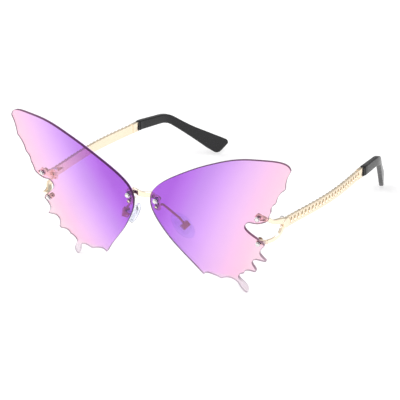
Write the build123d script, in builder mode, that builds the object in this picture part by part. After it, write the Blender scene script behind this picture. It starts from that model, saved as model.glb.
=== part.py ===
from build123d import *
import os
from math import cos, radians, sin, sqrt

# Butterfly sunglasses standing open on the two lens tails and the two temple tips.
# Front towards -Y, up +Z, X = 0 midway between the lenses. Left means the wearer's left, +X.
# Lengths are in millimetres. The left side is modelled, and mirrored for the right side.

# Overall
overall_depth = 157.0
lens_lead = 3.64
floor_flat = 0.4

# Lenses
lens_width = 74.0
lens_height = 76.0
lens_gap = 9.5
lens_thickness = 1.8
base_curve_radius = 230.0
lens_lean_angle = 8.8
lens_wrap_angle = 6.7

# Screws, bushings, washers and nuts that hold the lenses
shank_radius = 0.6
screw_head_radius = 0.95
screw_dome_share = 0.6
screw_head_height = 0.6
bushing_radius = 0.95
bushing_flange_radius = 1.3
bushing_flange_thickness = 0.3
washer_radius = 1.4
washer_thickness = 0.3
nut_radius = 1.25
nut_height = 1.3
nut_chamfer = 0.25
fit_gap = 0.05
seat_gap = 0.02
peg_radius = 0.4
peg_sleeve_radius = 0.75

# Bridge
bridge_bar_height = 2.9
bridge_bar_depth = 1.2
bridge_bar_rounding = 0.5
bridge_rise = 5.6
bridge_arch = 1.7
bridge_joint_inset = 1.3
plate_length = 8.6
plate_width = 3.0
plate_thickness = 1.0
plate_rounding = 0.3

# Nose pads, their arms, boxes and screws
pad_length = 15.0
pad_width = 8.0
pad_thickness = 2.8
pad_rounding = 1.1
pad_spread = 28.0
pad_setback = 12.3
pad_drop = 12.8
pad_axis_height = 3.3
pad_core_length = 9.0
pad_core_width = 4.4
pad_core_thickness = 0.7
pad_stem_width = 1.6
pad_stem_length = 1.7
pad_box_length = 2.8
pad_box_width = 3.8
pad_box_height = 3.2
pad_box_roof = 0.75
pad_slot_play = 0.15
pad_screw_radius = 0.45
pad_screw_head_radius = 0.75
pad_screw_head_height = 0.35
arm_radius = 0.55
arm_first_run = 3.0
arm_last_run = 3.2
arm_bend_radius = 1.6
arm_start_drop = 2.6

# End pieces
temple_flare = 5.2
end_piece_reach = 21.9
temple_drop = 4.3
foot_thickness = 1.0
upper_foot_height = 3.2
lower_foot_height = 2.7
upper_foot_reach = 2.5
lower_foot_reach = 3.2
upper_prong_height = 3.1
upper_prong_thickness = 1.6
lower_prong_height = 2.3
lower_prong_thickness = 1.5
prong_rounding = 0.5
block_length = 4.8
block_height = 4.7
block_thickness = 1.9
block_rounding = 0.4
prong_spacing = 1.8

# Hinges
hinge_setback = 2.0
hinge_inset = 0.85
knuckle_radius = 1.1
knuckle_stack_height = 5.0
knuckle_gap = 0.08
knuckle_relief = 0.2
hinge_screw_radius = 0.55
hinge_screw_head_radius = 0.9
hinge_screw_head_height = 0.45
hinge_play = 0.04
hinge_leaf_thickness = 1.0
hinge_leaf_length = 4.5

# Temples
seam_gap = 0.15
temple_slope_angle = 3.0
temple_thickness = 1.5
temple_band_height = 4.7
temple_band_length = 73.5
collar_length = 4.5
collar_step = 0.25
link_count = 23
link_wave = 0.35
link_recess_length = 1.7
link_recess_width = 0.8
link_recess_angle = 60.0
link_recess_depth = 0.5
link_recess_drop = 1.6
core_radius = 0.7
core_length = 6.0

# Temple tips
tip_inset = 17.7
tip_start_height = 5.0
tip_start_thickness = 3.0
tip_gap = 0.05
tip_rounding = 0.6
tip_bore_spare = 1.0
tip_end_height = 2.65
tip_end_lead = 2.6
tip_end_chamfer = 0.5

# Outline of a lens, seen from the front, as shares of its width and height from its middle
lens_outline_shares = (
    ((-0.166, -0.457), (-0.254, -0.342), (-0.355, -0.221), (-0.423, -0.118), (-0.466, -0.026),
     (-0.476, 0.026), (-0.464, 0.096), (-0.419, 0.158), (-0.372, 0.197), (-0.226, 0.284),
     (-0.076, 0.354), (0.027, 0.391), (0.135, 0.422), (0.243, 0.437), (0.351, 0.438),
     (0.446, 0.432), (0.503, 0.411), (0.523, 0.376)),
    ((0.523, 0.376), (0.490, 0.316), (0.480, 0.253)),
    ((0.480, 0.253), (0.433, 0.210), (0.411, 0.153)),
    ((0.411, 0.153), (0.381, 0.128), (0.373, 0.088)),
    ((0.373, 0.088), (0.356, 0.060), (0.351, 0.032)),
    ((0.351, 0.032), (0.304, 0.007), (0.257, 0.000), (0.214, 0.003), (0.192, -0.013),
     (0.185, -0.032), (0.196, -0.057), (0.226, -0.087), (0.292, -0.145), (0.303, -0.163)),
    ((0.303, -0.163), (0.270, -0.197), (0.262, -0.221), (0.274, -0.250), (0.300, -0.280)),
    ((0.300, -0.280), (0.257, -0.278), (0.218, -0.276), (0.201, -0.290), (0.203, -0.326),
     (0.219, -0.363)),
    ((0.219, -0.363), (0.207, -0.373), (0.188, -0.370), (0.162, -0.366), (0.146, -0.369),
     (0.128, -0.397)),
    ((0.128, -0.397), (0.108, -0.399), (0.091, -0.413), (0.083, -0.434), (0.101, -0.467),
     (0.130, -0.524), (0.127, -0.547), (0.115, -0.563)),
    ((0.115, -0.563), (0.097, -0.542), (0.081, -0.513), (0.070, -0.480), (0.036, -0.450),
     (-0.010, -0.450), (-0.041, -0.464)),
    ((-0.041, -0.464), (-0.073, -0.449), (-0.108, -0.438), (-0.137, -0.435), (-0.166, -0.457)),
)
nasal_share = (-0.476, 0.026)
tail_share = (0.115, -0.563)
nose_screw_share = (-0.436, 0.053)
nose_peg_share = (-0.436, 0.008)
nose_plate_share = (-0.436, 0.031)
upper_screw_share = (0.277, 0.036)
lower_screw_share = (0.259, -0.149)

# Ways of the bridge bar, the prongs and the temple tips, as shares of the distance between their ends
bridge_bend_shares = ((0.72, 0.10), (0.38, 0.70))
upper_prong_shares = ((0.34, 0.50), (0.72, 0.80))
lower_prong_shares = ((0.36, -0.02), (0.70, 0.36))
block_shares = ((0.0, -0.5), (0.45, -0.5), (1.0, -0.26), (1.0, 0.34), (0.45, 0.5), (0.0, 0.5))
tip_way_shares = ((0.055, 0.0, 0.005), (0.43, 0.18, 0.098), (1.0, 1.0, 1.0))
tip_bend_share = 0.32
tip_height_shares = (1.0, 0.98, 0.95, 0.92, 0.88, 0.85, 0.85, 0.88, 0.96, 1.07, 1.19, 1.32, 1.45, 1.56, 1.62)
tip_thickness_shares = (1.0, 0.98, 0.95, 0.92, 0.89, 0.86, 0.84, 0.82, 0.8, 0.79, 0.78, 0.77, 0.76, 0.75, 0.72)

# Directions of a lens: across it, up it and out of its front
lean = radians(lens_lean_angle)
wrap = radians(lens_wrap_angle)
lens_across = Vector(cos(wrap), sin(wrap) * cos(lean), sin(wrap) * sin(lean))
lens_upward = Vector(0, -sin(lean), cos(lean))
lens_forward = Vector(sin(wrap), -cos(wrap) * cos(lean), -cos(wrap) * sin(lean))


def lens_radial(share):
    """Direction out of the curved front at a place on the lens."""
    u = share[0] * lens_width
    v = share[1] * lens_height
    w = sqrt(base_curve_radius**2 - u * u - v * v)
    return (lens_across * u + lens_upward * v + lens_forward * w).normalized()


def lens_offset(share):
    """Way from the lens middle to a place on its curved front."""
    return (lens_radial(share) - lens_forward) * base_curve_radius


lens_x = lens_gap / 2 - lens_offset(nasal_share).X
lens_y = lens_lead - overall_depth / 2
lens_z = -lens_offset(tail_share).Z - floor_flat
lens_middle = Vector(lens_x, lens_y, lens_z)
lens_plane = Plane(lens_middle, x_dir=lens_across, z_dir=lens_forward)
lens_ball_middle = lens_middle - lens_forward * base_curve_radius


def seat_plane(share):
    """Plane that touches the curved front of the lens, with Z out of the front."""
    radial = lens_radial(share)
    return Plane(lens_middle + lens_offset(share), x_dir=lens_upward.cross(radial), z_dir=radial)


def turning_plane(seat):
    """Plane through the axis of a seat: X is the radius and Y the height over the seat."""
    return Plane(seat.origin, x_dir=seat.x_dir, z_dir=-seat.y_dir)


# Depths behind the front surface at a screw
washer_front = lens_thickness + seat_gap
plate_front = washer_front + washer_thickness + seat_gap
nose_seat = seat_plane(nose_plate_share)


def on_plate(share):
    """A seat on the nose plate's own plane, so that all that sits there is parallel."""
    spot = nose_seat.to_local_coords(lens_middle + lens_offset(share))
    return Plane(nose_seat.from_local_coords(Vector(spot.X, spot.Y, 0)), x_dir=nose_seat.x_dir,
                 z_dir=nose_seat.z_dir)


nose_screw_seat = on_plate(nose_screw_share)
nose_peg_seat = on_plate(nose_peg_share)
upper_seat = seat_plane(upper_screw_share)
lower_seat = seat_plane(lower_screw_share)
end_seats = (upper_seat, lower_seat)


def disc(seat, height, radius, thickness):
    """Round plate that starts at a height over the seat and grows to the rear."""
    with BuildSketch(seat.offset(height)) as face:
        Circle(radius)
    extrude(face.sketch, amount=-thickness)


def bore(seat, radius, front, rear):
    """Round hole from one height over the seat down to another."""
    with BuildSketch(seat.offset(front)) as face:
        Circle(radius)
    extrude(face.sketch, amount=rear - front, mode=Mode.SUBTRACT)


def turned_screw(seat, head_seat, tail, radius, head_radius, head_height):
    """Screw with a domed head; head_seat and tail are heights over the seat."""
    head_top = head_seat + head_height
    dome_height = head_height * screw_dome_share
    rim_top = head_top - dome_height
    dome_radius = (head_radius**2 + dome_height**2) / (2 * dome_height)
    with BuildSketch(turning_plane(seat)) as profile:
        with BuildLine():
            Polyline((0, head_top), (0, tail), (radius, tail), (radius, head_seat),
                     (head_radius, head_seat), (head_radius, rim_top))
            RadiusArc((head_radius, rim_top), (0, head_top), -dome_radius)
        make_face()
    revolve(profile.sketch, axis=Axis(seat.origin, seat.z_dir))


def turned_bushing(seat):
    """Clear bushing: a flange on the lens front and a sleeve through the lens."""
    inner = shank_radius + fit_gap
    top = seat_gap + bushing_flange_thickness
    with BuildSketch(turning_plane(seat)) as profile:
        with BuildLine():
            Polyline((inner, -lens_thickness), (bushing_radius, -lens_thickness),
                     (bushing_radius, seat_gap), (bushing_flange_radius, seat_gap),
                     (bushing_flange_radius, top), (inner, top), close=True)
        make_face()
    revolve(profile.sketch, axis=Axis(seat.origin, seat.z_dir))


def rear_washer(seat):
    disc(seat, -washer_front, washer_radius, washer_thickness)
    bore(seat, shank_radius + fit_gap, 0, -plate_front)


def round_nut(seat, front):
    """Round nut with a bevelled rear rim, behind a plate whose rear is at the given depth."""
    inner = shank_radius + fit_gap
    rear = front + nut_height
    with BuildSketch(turning_plane(seat)) as profile:
        with BuildLine():
            Polyline((inner, -front), (nut_radius, -front), (nut_radius, nut_chamfer - rear),
                     (nut_radius - nut_chamfer, -rear), (inner, -rear), close=True)
        make_face()
    revolve(profile.sketch, axis=Axis(seat.origin, seat.z_dir))


def mirrored_part(solid):
    """The right-hand piece: its twin across the plane between the lenses."""
    with BuildPart() as twin:
        mirror(solid, about=Plane.YZ)
    return twin


def lens_point(share):
    return (share[0] * lens_width, share[1] * lens_height)


# Lens: a shell cut from a ball, trimmed to the wing outline
with BuildPart() as left_lens:
    with BuildSketch(lens_plane):
        with BuildLine():
            for run in lens_outline_shares:
                Spline(*[lens_point(share) for share in run])
        make_face()
    extrude(amount=lens_height, both=True)
    with Locations(lens_ball_middle):
        Sphere(base_curve_radius, mode=Mode.INTERSECT)
        Sphere(base_curve_radius - lens_thickness, mode=Mode.SUBTRACT)
    for seat in (nose_screw_seat, upper_seat, lower_seat):
        bore(seat, bushing_radius + fit_gap, lens_thickness, -2 * lens_thickness)
    bore(nose_peg_seat, peg_sleeve_radius + fit_gap, lens_thickness, -2 * lens_thickness)
    split(bisect_by=Plane.XY, keep=Keep.TOP)
right_lens = mirrored_part(left_lens.part)

# Hardware at the bridge
nut_front_at_bridge = plate_front + plate_thickness + seat_gap
screw_seat_height = seat_gap * 2 + bushing_flange_thickness
with BuildPart() as bridge_bushings:
    turned_bushing(nose_screw_seat)
    mirror(about=Plane.YZ)
with BuildPart() as bridge_washers:
    rear_washer(nose_screw_seat)
    mirror(about=Plane.YZ)
with BuildPart() as bridge_nuts:
    round_nut(nose_screw_seat, nut_front_at_bridge)
    mirror(about=Plane.YZ)
with BuildPart() as bridge_screws:
    turned_screw(nose_screw_seat, screw_seat_height, -nut_front_at_bridge - nut_height, shank_radius,
                 screw_head_radius, screw_head_height)
    mirror(about=Plane.YZ)
with BuildPart() as peg_sleeves:
    disc(nose_peg_seat, 0, peg_sleeve_radius, lens_thickness)
    bore(nose_peg_seat, peg_radius + fit_gap, lens_thickness, -2 * lens_thickness)
    mirror(about=Plane.YZ)

# Bridge: an arched bar between two upright plates with pegs
plate_seat = nose_seat.offset(-plate_front - plate_thickness / 2)
joint = plate_seat.from_local_coords(Vector(-bridge_joint_inset, 0, 0))
bar_level = lens_z + bridge_rise
with BuildPart() as bridge:
    with BuildSketch(nose_seat.offset(-plate_front)):
        SlotOverall(plate_length, plate_width, rotation=90)
    extrude(amount=-plate_thickness)
    fillet(edges().filter_by(GeomType.CIRCLE), plate_rounding)
    bore(nose_screw_seat, shank_radius + fit_gap, 0, -nut_front_at_bridge)
    with BuildSketch(nose_peg_seat.offset(-plate_front - plate_thickness / 2)):
        Circle(peg_radius)
    extrude(amount=plate_front + plate_thickness / 2)
    bar_end = Vector(joint.X, joint.Y, bar_level)
    bar_middle = Vector(0, joint.Y - bridge_arch, bar_level)
    with BuildLine() as bar_way:
        Spline(bar_end, *[(bar_end.X * across, bar_end.Y - bridge_arch * ahead, bar_level)
                          for across, ahead in bridge_bend_shares], bar_middle,
               tangents=((-1, 0, 0), (-1, 0, 0)))
    with BuildSketch(Plane(bar_end, x_dir=(0, 0, 1), z_dir=(-1, 0, 0))):
        RectangleRounded(bridge_bar_height, bridge_bar_depth, bridge_bar_rounding)
    sweep(path=bar_way.wires()[0])
    mirror(about=Plane.YZ)

# Nose pad frame: Z points from the pad to its box, X down the pad and Y across it
pad_middle = Vector(pad_spread / 2, lens_y + pad_setback, lens_z - pad_drop)
pad_plane = Plane(pad_middle, x_dir=(0.60, 0.18, -0.775), z_dir=(0.70, -0.59, 0.405))
pad_axis_plane = pad_plane.offset(pad_axis_height)
box_floor = pad_axis_height - pad_stem_length / 2 - pad_slot_play
stem_half = pad_stem_width / 2
slot_half = stem_half + pad_slot_play
pad_back = pad_thickness / 2


def pad_cross_plane(y):
    """Plane square to the pad screw, at a place along it."""
    return Plane(pad_axis_plane.from_local_coords(Vector(0, y, 0)), x_dir=pad_plane.x_dir,
                 z_dir=pad_plane.y_dir)


box_drop = pad_axis_height - box_floor
box_rise = pad_box_height - box_drop
with BuildPart() as left_pad_box:
    with BuildSketch(pad_cross_plane(-pad_box_width / 2)):
        with Locations((0, (box_drop - box_rise) / 2)):
            RectangleRounded(pad_box_length, pad_box_height, pad_box_roof / 2)
    extrude(amount=pad_box_width)
    with BuildSketch(pad_cross_plane(-slot_half)):
        with Locations((0, box_drop - pad_box_height / 2 + pad_box_roof / 2)):
            Rectangle(pad_box_length * 2, pad_box_height - pad_box_roof)
    extrude(amount=slot_half * 2, mode=Mode.SUBTRACT)
    with BuildSketch(pad_cross_plane(-pad_box_width)):
        Circle(pad_screw_radius + fit_gap)
    extrude(amount=pad_box_width * 2, mode=Mode.SUBTRACT)
right_pad_box = mirrored_part(left_pad_box.part)

with BuildPart() as pad_screws:
    turned_screw(pad_cross_plane(pad_box_width / 2), seat_gap, -pad_box_width, pad_screw_radius,
                 pad_screw_head_radius, pad_screw_head_height)
    mirror(about=Plane.YZ)

# Core of the pad: a plate inside the silicone and a stem with the screw's hole
with BuildPart() as left_pad_core:
    with BuildSketch(pad_plane.offset(-pad_core_thickness / 2)):
        RectangleRounded(pad_core_length, pad_core_width, pad_core_width / 4)
    extrude(amount=pad_core_thickness)
    with BuildSketch(pad_cross_plane(-stem_half)):
        Circle(pad_stem_length / 2)
        with Locations((0, pad_axis_height / 2)):
            Rectangle(pad_stem_length, pad_axis_height)
    extrude(amount=pad_stem_width)
    with BuildSketch(pad_cross_plane(-pad_stem_width)):
        Circle(pad_screw_radius + hinge_play)
    extrude(amount=pad_stem_width * 2, mode=Mode.SUBTRACT)
right_pad_core = mirrored_part(left_pad_core.part)

with BuildPart() as left_nose_pad:
    with BuildSketch(pad_plane.offset(-pad_back)):
        Ellipse(pad_length / 2, pad_width / 2)
    extrude(amount=pad_thickness)
    fillet(edges().filter_by(GeomType.ELLIPSE), pad_rounding)
    with BuildSketch(pad_plane.offset(-pad_core_thickness / 2 - seat_gap)):
        RectangleRounded(pad_core_length + 2 * seat_gap, pad_core_width + 2 * seat_gap,
                         pad_core_width / 4 + seat_gap)
    extrude(amount=pad_core_thickness + 2 * seat_gap, mode=Mode.SUBTRACT)
    with BuildSketch(pad_plane):
        Rectangle(pad_stem_length + 2 * seat_gap, pad_stem_width + 2 * seat_gap)
    extrude(amount=pad_thickness, mode=Mode.SUBTRACT)
right_nose_pad = mirrored_part(left_nose_pad.part)

# Pad arm: wire from the rear of the bridge plate to the upper end of the pad box
plate_rear = nose_seat.offset(-plate_front - plate_thickness)
arm_start = plate_rear.from_local_coords(Vector(0, -arm_start_drop, 0))
arm_second = plate_rear.from_local_coords(Vector(0, -arm_start_drop, -arm_first_run))
arm_end = pad_plane.from_local_coords(
    Vector(-pad_box_length / 2 - seat_gap, 0, box_floor + pad_box_height - pad_box_roof))
arm_third = arm_end - pad_plane.x_dir * arm_last_run
with BuildPart() as left_pad_arm:
    with BuildLine() as arm_way:
        FilletPolyline(arm_start, arm_second, arm_third, arm_end, radius=arm_bend_radius)
    with BuildSketch(Plane(arm_start, x_dir=plate_rear.x_dir, z_dir=-plate_rear.z_dir)):
        Circle(arm_radius)
    sweep(path=arm_way.wires()[0])
right_pad_arm = mirrored_part(left_pad_arm.part)

# Hardware at the end pieces
nut_front_at_end = plate_front + foot_thickness + seat_gap
with BuildPart() as end_piece_bushings:
    for seat in end_seats:
        turned_bushing(seat)
    mirror(about=Plane.YZ)
with BuildPart() as end_piece_washers:
    for seat in end_seats:
        rear_washer(seat)
    mirror(about=Plane.YZ)
with BuildPart() as end_piece_nuts:
    for seat in end_seats:
        round_nut(seat, nut_front_at_end)
    mirror(about=Plane.YZ)
with BuildPart() as end_piece_screws:
    for seat in end_seats:
        turned_screw(seat, screw_seat_height, -nut_front_at_end - nut_height, shank_radius,
                     screw_head_radius, screw_head_height)
    mirror(about=Plane.YZ)

# End piece: two prongs from the lens to a block with the fixed hinge knuckles
temple_x = upper_seat.origin.X + temple_flare
seam_y = lens_y + end_piece_reach
hinge_level = lens_z - temple_drop
hinge_x = temple_x - block_thickness / 2 - hinge_inset
hinge_y = seam_y - hinge_setback
knuckle_height = knuckle_stack_height / 3
stack_bottom = hinge_level - knuckle_stack_height / 2
stack_top = stack_bottom + knuckle_stack_height
prong_meeting_y = seam_y - block_length / 2


def prong(seat, foot_reach, foot_height, height, thickness, way_shares, block_rise):
    """One foot on the lens and the prong that runs from it to the block."""
    with BuildSketch(seat.offset(-plate_front)) as foot:
        with Locations((foot_reach / 2, 0)):
            SlotOverall(foot_reach + foot_height, foot_height)
    extrude(foot.sketch, amount=-foot_thickness)
    start = seat.from_local_coords(Vector(foot_reach, 0, -plate_front - foot_thickness / 2))
    end = Vector(temple_x, prong_meeting_y, hinge_level + block_rise)
    way = end - start
    level = Vector(way.X, way.Y, 0)
    with BuildLine() as line:
        Spline(start, *[start + level * along + Vector(0, 0, way.Z * rise)
                        for along, rise in way_shares], end, tangents=(level, way))
    side = Vector(0, 0, 1).cross(level)
    with BuildSketch(Plane(start, x_dir=side, z_dir=level)) as section:
        RectangleRounded(thickness, height, prong_rounding)
    sweep(section.sketch, path=line.wires()[0])


with BuildPart() as left_end_piece:
    prong(upper_seat, upper_foot_reach, upper_foot_height, upper_prong_height,
          upper_prong_thickness, upper_prong_shares, prong_spacing / 2)
    prong(lower_seat, lower_foot_reach, lower_foot_height, lower_prong_height,
          lower_prong_thickness, lower_prong_shares, -prong_spacing / 2)
    with BuildSketch(Plane.YZ.offset(temple_x - block_thickness / 2)):
        with BuildLine():
            Polyline([(seam_y - ahead * block_length, hinge_level + rise * block_height)
                      for ahead, rise in block_shares], close=True)
        make_face()
        fillet(vertices(), block_rounding)
    extrude(amount=block_thickness)
    for seat in end_seats:
        bore(seat, washer_radius + seat_gap, 0, -plate_front)
        bore(seat, shank_radius + fit_gap, 0, -nut_front_at_end)
        bore(seat, nut_radius + fit_gap, seat_gap - nut_front_at_end,
             -nut_front_at_end - 2 * nut_height)
    with BuildSketch(Plane.XY.offset(stack_bottom)):
        with Locations((hinge_x, hinge_y)):
            Circle(knuckle_radius)
    extrude(amount=knuckle_stack_height)
    with BuildSketch(Plane.XY.offset(stack_bottom + knuckle_height)):
        with Locations((hinge_x, hinge_y)):
            Circle(knuckle_radius + knuckle_relief)
    extrude(amount=knuckle_height, mode=Mode.SUBTRACT)
    with BuildSketch(Plane.XY.offset(stack_bottom)):
        with Locations((hinge_x, hinge_y)):
            Circle(hinge_screw_radius + fit_gap)
    extrude(amount=knuckle_stack_height, mode=Mode.SUBTRACT)
right_end_piece = mirrored_part(left_end_piece.part)

with BuildPart() as hinge_screws:
    hinge_seat = Plane((hinge_x, hinge_y, stack_top), x_dir=(1, 0, 0), z_dir=(0, 0, 1))
    turned_screw(hinge_seat, seat_gap, -knuckle_stack_height, hinge_screw_radius,
                 hinge_screw_head_radius, hinge_screw_head_height)
    mirror(about=Plane.YZ)

# Temple: a flat band with a row of links, a plain collar, a core for the tip and one knuckle
slope = radians(temple_slope_angle)
band_inner_x = temple_x - temple_thickness / 2
temple_plane = Plane((band_inner_x, seam_y + seam_gap, hinge_level), x_dir=(0, cos(slope), -sin(slope)),
                     z_dir=(1, 0, 0))
band_half = temple_band_height / 2
link_row_length = temple_band_length - collar_length
link_pitch = link_row_length / link_count
link_top = band_half - link_wave

with BuildPart() as left_temple:
    with BuildSketch(temple_plane):
        with BuildLine():
            for link in range(link_count):
                start = link * link_pitch
                ThreePointArc((start, link_top), (start + link_pitch / 2, band_half),
                              (start + link_pitch, link_top))
            Polyline((link_row_length, link_top), (link_row_length, -band_half), (0, -band_half),
                     (0, link_top))
        make_face()
    extrude(amount=temple_thickness)
    with BuildSketch(temple_plane.offset(temple_thickness)):
        for link in range(link_count):
            with Locations(((link + 0.5) * link_pitch, band_half - link_recess_drop)):
                SlotOverall(link_recess_length, link_recess_width, rotation=link_recess_angle)
    extrude(amount=-link_recess_depth, mode=Mode.SUBTRACT)
    with BuildSketch(temple_plane.offset(-collar_step)):
        with Locations((link_row_length + collar_length / 2, 0)):
            Rectangle(collar_length, temple_band_height)
    extrude(amount=temple_thickness + 2 * collar_step)
    core_plane = Plane(temple_plane.from_local_coords(
        Vector(temple_band_length - collar_length / 2, 0, temple_thickness / 2)),
        x_dir=(1, 0, 0), z_dir=temple_plane.x_dir)
    with BuildSketch(core_plane):
        Circle(core_radius)
    extrude(amount=core_length + collar_length / 2)
    leaf_inner = hinge_x - hinge_leaf_thickness / 2
    leaf_bottom = stack_bottom + knuckle_height + knuckle_gap
    with BuildSketch(Plane.XY.offset(leaf_bottom)):
        with BuildLine():
            Polyline((leaf_inner, hinge_y), (leaf_inner + hinge_leaf_thickness, hinge_y),
                     (leaf_inner + hinge_leaf_thickness, seam_y + 2 * seam_gap),
                     (band_inner_x + link_recess_depth, seam_y + 2 * seam_gap),
                     (band_inner_x + link_recess_depth, seam_y + hinge_leaf_length),
                     (leaf_inner, seam_y + hinge_leaf_length), close=True)
        make_face()
        with Locations((hinge_x, hinge_y)):
            Circle(knuckle_radius)
    extrude(amount=knuckle_height - 2 * knuckle_gap)
    with BuildSketch(Plane.XY.offset(stack_bottom)):
        with Locations((hinge_x, hinge_y)):
            Circle(hinge_screw_radius + hinge_play)
    extrude(amount=knuckle_stack_height, mode=Mode.SUBTRACT)
right_temple = mirrored_part(left_temple.part)

# Temple tip: a sleeve that bends down and inward to a flat paddle
tip_start = temple_plane.from_local_coords(
    Vector(temple_band_length + tip_gap, 0, temple_thickness / 2))
tip_run = overall_depth / 2 - tip_end_lead - tip_start.Y
tip_fall = tip_start.Z - tip_end_height
tip_points = [tip_start + Vector(-inset * tip_inset, along * tip_run, -fall * tip_fall)
              for along, inset, fall in tip_way_shares]

with BuildPart() as left_temple_tip:
    with BuildLine(mode=Mode.PRIVATE) as tip_way:
        FilletPolyline(tip_start, *tip_points, radius=tip_bend_share * tip_run)
    tip_wire = tip_way.wires()[0]
    for index, height_share in enumerate(tip_height_shares):
        station = index / (len(tip_height_shares) - 1)
        heading = tip_wire.tangent_at(station)
        section_plane = Plane(tip_wire.position_at(station), x_dir=heading.cross(Vector(0, 0, 1)),
                              z_dir=heading)
        thickness = tip_start_thickness * tip_thickness_shares[index]
        height = tip_start_height * height_share
        rounding = tip_rounding * tip_thickness_shares[index]
        with BuildSketch(section_plane):
            RectangleRounded(thickness, height, rounding)
    loft()
    with BuildSketch(section_plane):
        RectangleRounded(thickness, height, rounding)
    with BuildSketch(section_plane.offset(tip_end_chamfer)):
        RectangleRounded(thickness - 2 * tip_end_chamfer, height - 2 * tip_end_chamfer, rounding / 2)
    loft(ruled=True)
    with BuildSketch(Plane(tip_start - temple_plane.x_dir * tip_gap, x_dir=(1, 0, 0),
                           z_dir=temple_plane.x_dir)):
        Circle(core_radius + fit_gap)
    extrude(amount=core_length + tip_bore_spare, mode=Mode.SUBTRACT)
    split(bisect_by=Plane.XY, keep=Keep.TOP)
right_temple_tip = mirrored_part(left_temple_tip.part)

nodes = {
    "left_lens": left_lens, "right_lens": right_lens, "bridge": bridge,
    "bridge_bushings": bridge_bushings, "bridge_washers": bridge_washers,
    "bridge_nuts": bridge_nuts, "bridge_screws": bridge_screws, "peg_sleeves": peg_sleeves,
    "left_pad_arm": left_pad_arm, "right_pad_arm": right_pad_arm, "left_pad_box": left_pad_box,
    "right_pad_box": right_pad_box, "pad_screws": pad_screws, "left_pad_core": left_pad_core,
    "right_pad_core": right_pad_core, "left_nose_pad": left_nose_pad,
    "right_nose_pad": right_nose_pad, "end_piece_bushings": end_piece_bushings,
    "end_piece_washers": end_piece_washers, "end_piece_nuts": end_piece_nuts,
    "end_piece_screws": end_piece_screws, "left_end_piece": left_end_piece,
    "right_end_piece": right_end_piece, "hinge_screws": hinge_screws,
    "left_temple": left_temple, "right_temple": right_temple,
    "left_temple_tip": left_temple_tip, "right_temple_tip": right_temple_tip,
}
os.makedirs("parts", exist_ok=True)
for name, node in nodes.items():
    node.part.label = name
    export_step(node.part, f"parts/{name}.step")
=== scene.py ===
import math
import bmesh
import bpy
import numpy as np
from mathutils import Matrix, Vector, geometry


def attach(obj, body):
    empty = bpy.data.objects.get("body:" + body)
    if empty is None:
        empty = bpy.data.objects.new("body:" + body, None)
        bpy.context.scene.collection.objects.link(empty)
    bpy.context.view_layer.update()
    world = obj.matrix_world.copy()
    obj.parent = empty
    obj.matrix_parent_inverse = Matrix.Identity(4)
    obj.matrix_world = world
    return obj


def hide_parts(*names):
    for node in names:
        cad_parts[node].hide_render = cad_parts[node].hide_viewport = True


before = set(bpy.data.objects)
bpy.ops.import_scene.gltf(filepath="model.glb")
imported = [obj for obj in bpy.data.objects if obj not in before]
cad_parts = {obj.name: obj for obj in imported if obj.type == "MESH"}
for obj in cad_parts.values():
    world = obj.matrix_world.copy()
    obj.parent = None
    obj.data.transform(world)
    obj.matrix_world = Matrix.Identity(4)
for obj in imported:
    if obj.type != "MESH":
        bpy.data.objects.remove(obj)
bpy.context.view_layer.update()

# Butterfly sunglasses: violet to pink rimless lenses, pale gold metal, clear pads, black tips.
# Metres. +X is the wearer's left, the front faces -Y, and the glasses stand on z = 0.

MM = 0.001
SIDES = (("left", 1), ("right", -1))

# How near CAD points are one point, and how near the ball a point is part of a lens's front
MERGE_REACH = 0.002 * MM
FRONT_REACH = 0.01 * MM

# Lens: its middle on the curved front, how it leans and wraps, its ball, and its own directions
LENS_MIDDLE = Vector((40.051, -74.86, 41.098)) * MM
LENS_LEAN = math.radians(8.8)
LENS_WRAP = math.radians(6.7)
LENS_SIZE = (74 * MM, 76 * MM)
LENS_BALL = 230 * MM
LENS_THICK = 1.8 * MM
ACROSS = Vector((math.cos(LENS_WRAP), math.sin(LENS_WRAP) * math.cos(LENS_LEAN),
                 math.sin(LENS_WRAP) * math.sin(LENS_LEAN)))
UPWARD = Vector((0, -math.sin(LENS_LEAN), math.cos(LENS_LEAN)))
FORWARD = Vector((math.sin(LENS_WRAP), -math.cos(LENS_WRAP) * math.cos(LENS_LEAN),
                  -math.cos(LENS_WRAP) * math.sin(LENS_LEAN)))
BALL_MIDDLE = LENS_MIDDLE - FORWARD * LENS_BALL

# Screw places on the lens, as shares of its width and height from its middle
NOSE_PLATE_SHARE = (-0.436, 0.031)
NOSE_SCREW_SHARE = (-0.436, 0.053)
END_SCREW_SHARES = ((0.277, 0.036), (0.259, -0.149))

# Lens edge from front to rear, as inset and depth in millimetres; the last bevels take the tint
EDGE_PROFILE = ((0.14, 0.0), (0.05, 0.03), (0.0, 0.12), (0.0, 1.40), (0.07, 1.66), (0.22, 1.8))
TINTED_BEVELS = 2
HOLE_PROFILE = ((0.0, 0.0), (0.0, 1.8))
HOLE_POINTS = 40
OUTLINE_STEP = 0.35 * MM
OUTLINE_PASSES = 3
GRID_STEP = 2.2 * MM
GRID_MARGIN = 0.9 * MM

# Lens colours, as stops in millimetres along the slanted fade from the nose to the outer wing
FADE_WAY = ACROSS - UPWARD * 0.5
FADE_SPAN = (-36, 32)
TINT_STOPS = ((-36, (0.348, 0.072, 0.65)), (-29, (0.355, 0.075, 0.66)), (-22, (0.433, 0.135, 0.74)),
              (-14, (0.50, 0.226, 0.77)), (-6, (0.62, 0.316, 0.84)), (2, (0.73, 0.416, 0.835)),
              (10, (0.82, 0.487, 0.805)), (18, (0.92, 0.535, 0.735)), (32, (0.955, 0.64, 0.69)))
RIM_STOPS = ((-36, (0.060, 0.012, 0.070)), (-14, (0.085, 0.022, 0.085)), (6, (0.13, 0.05, 0.11)),
             (32, (0.21, 0.10, 0.15)))

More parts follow.
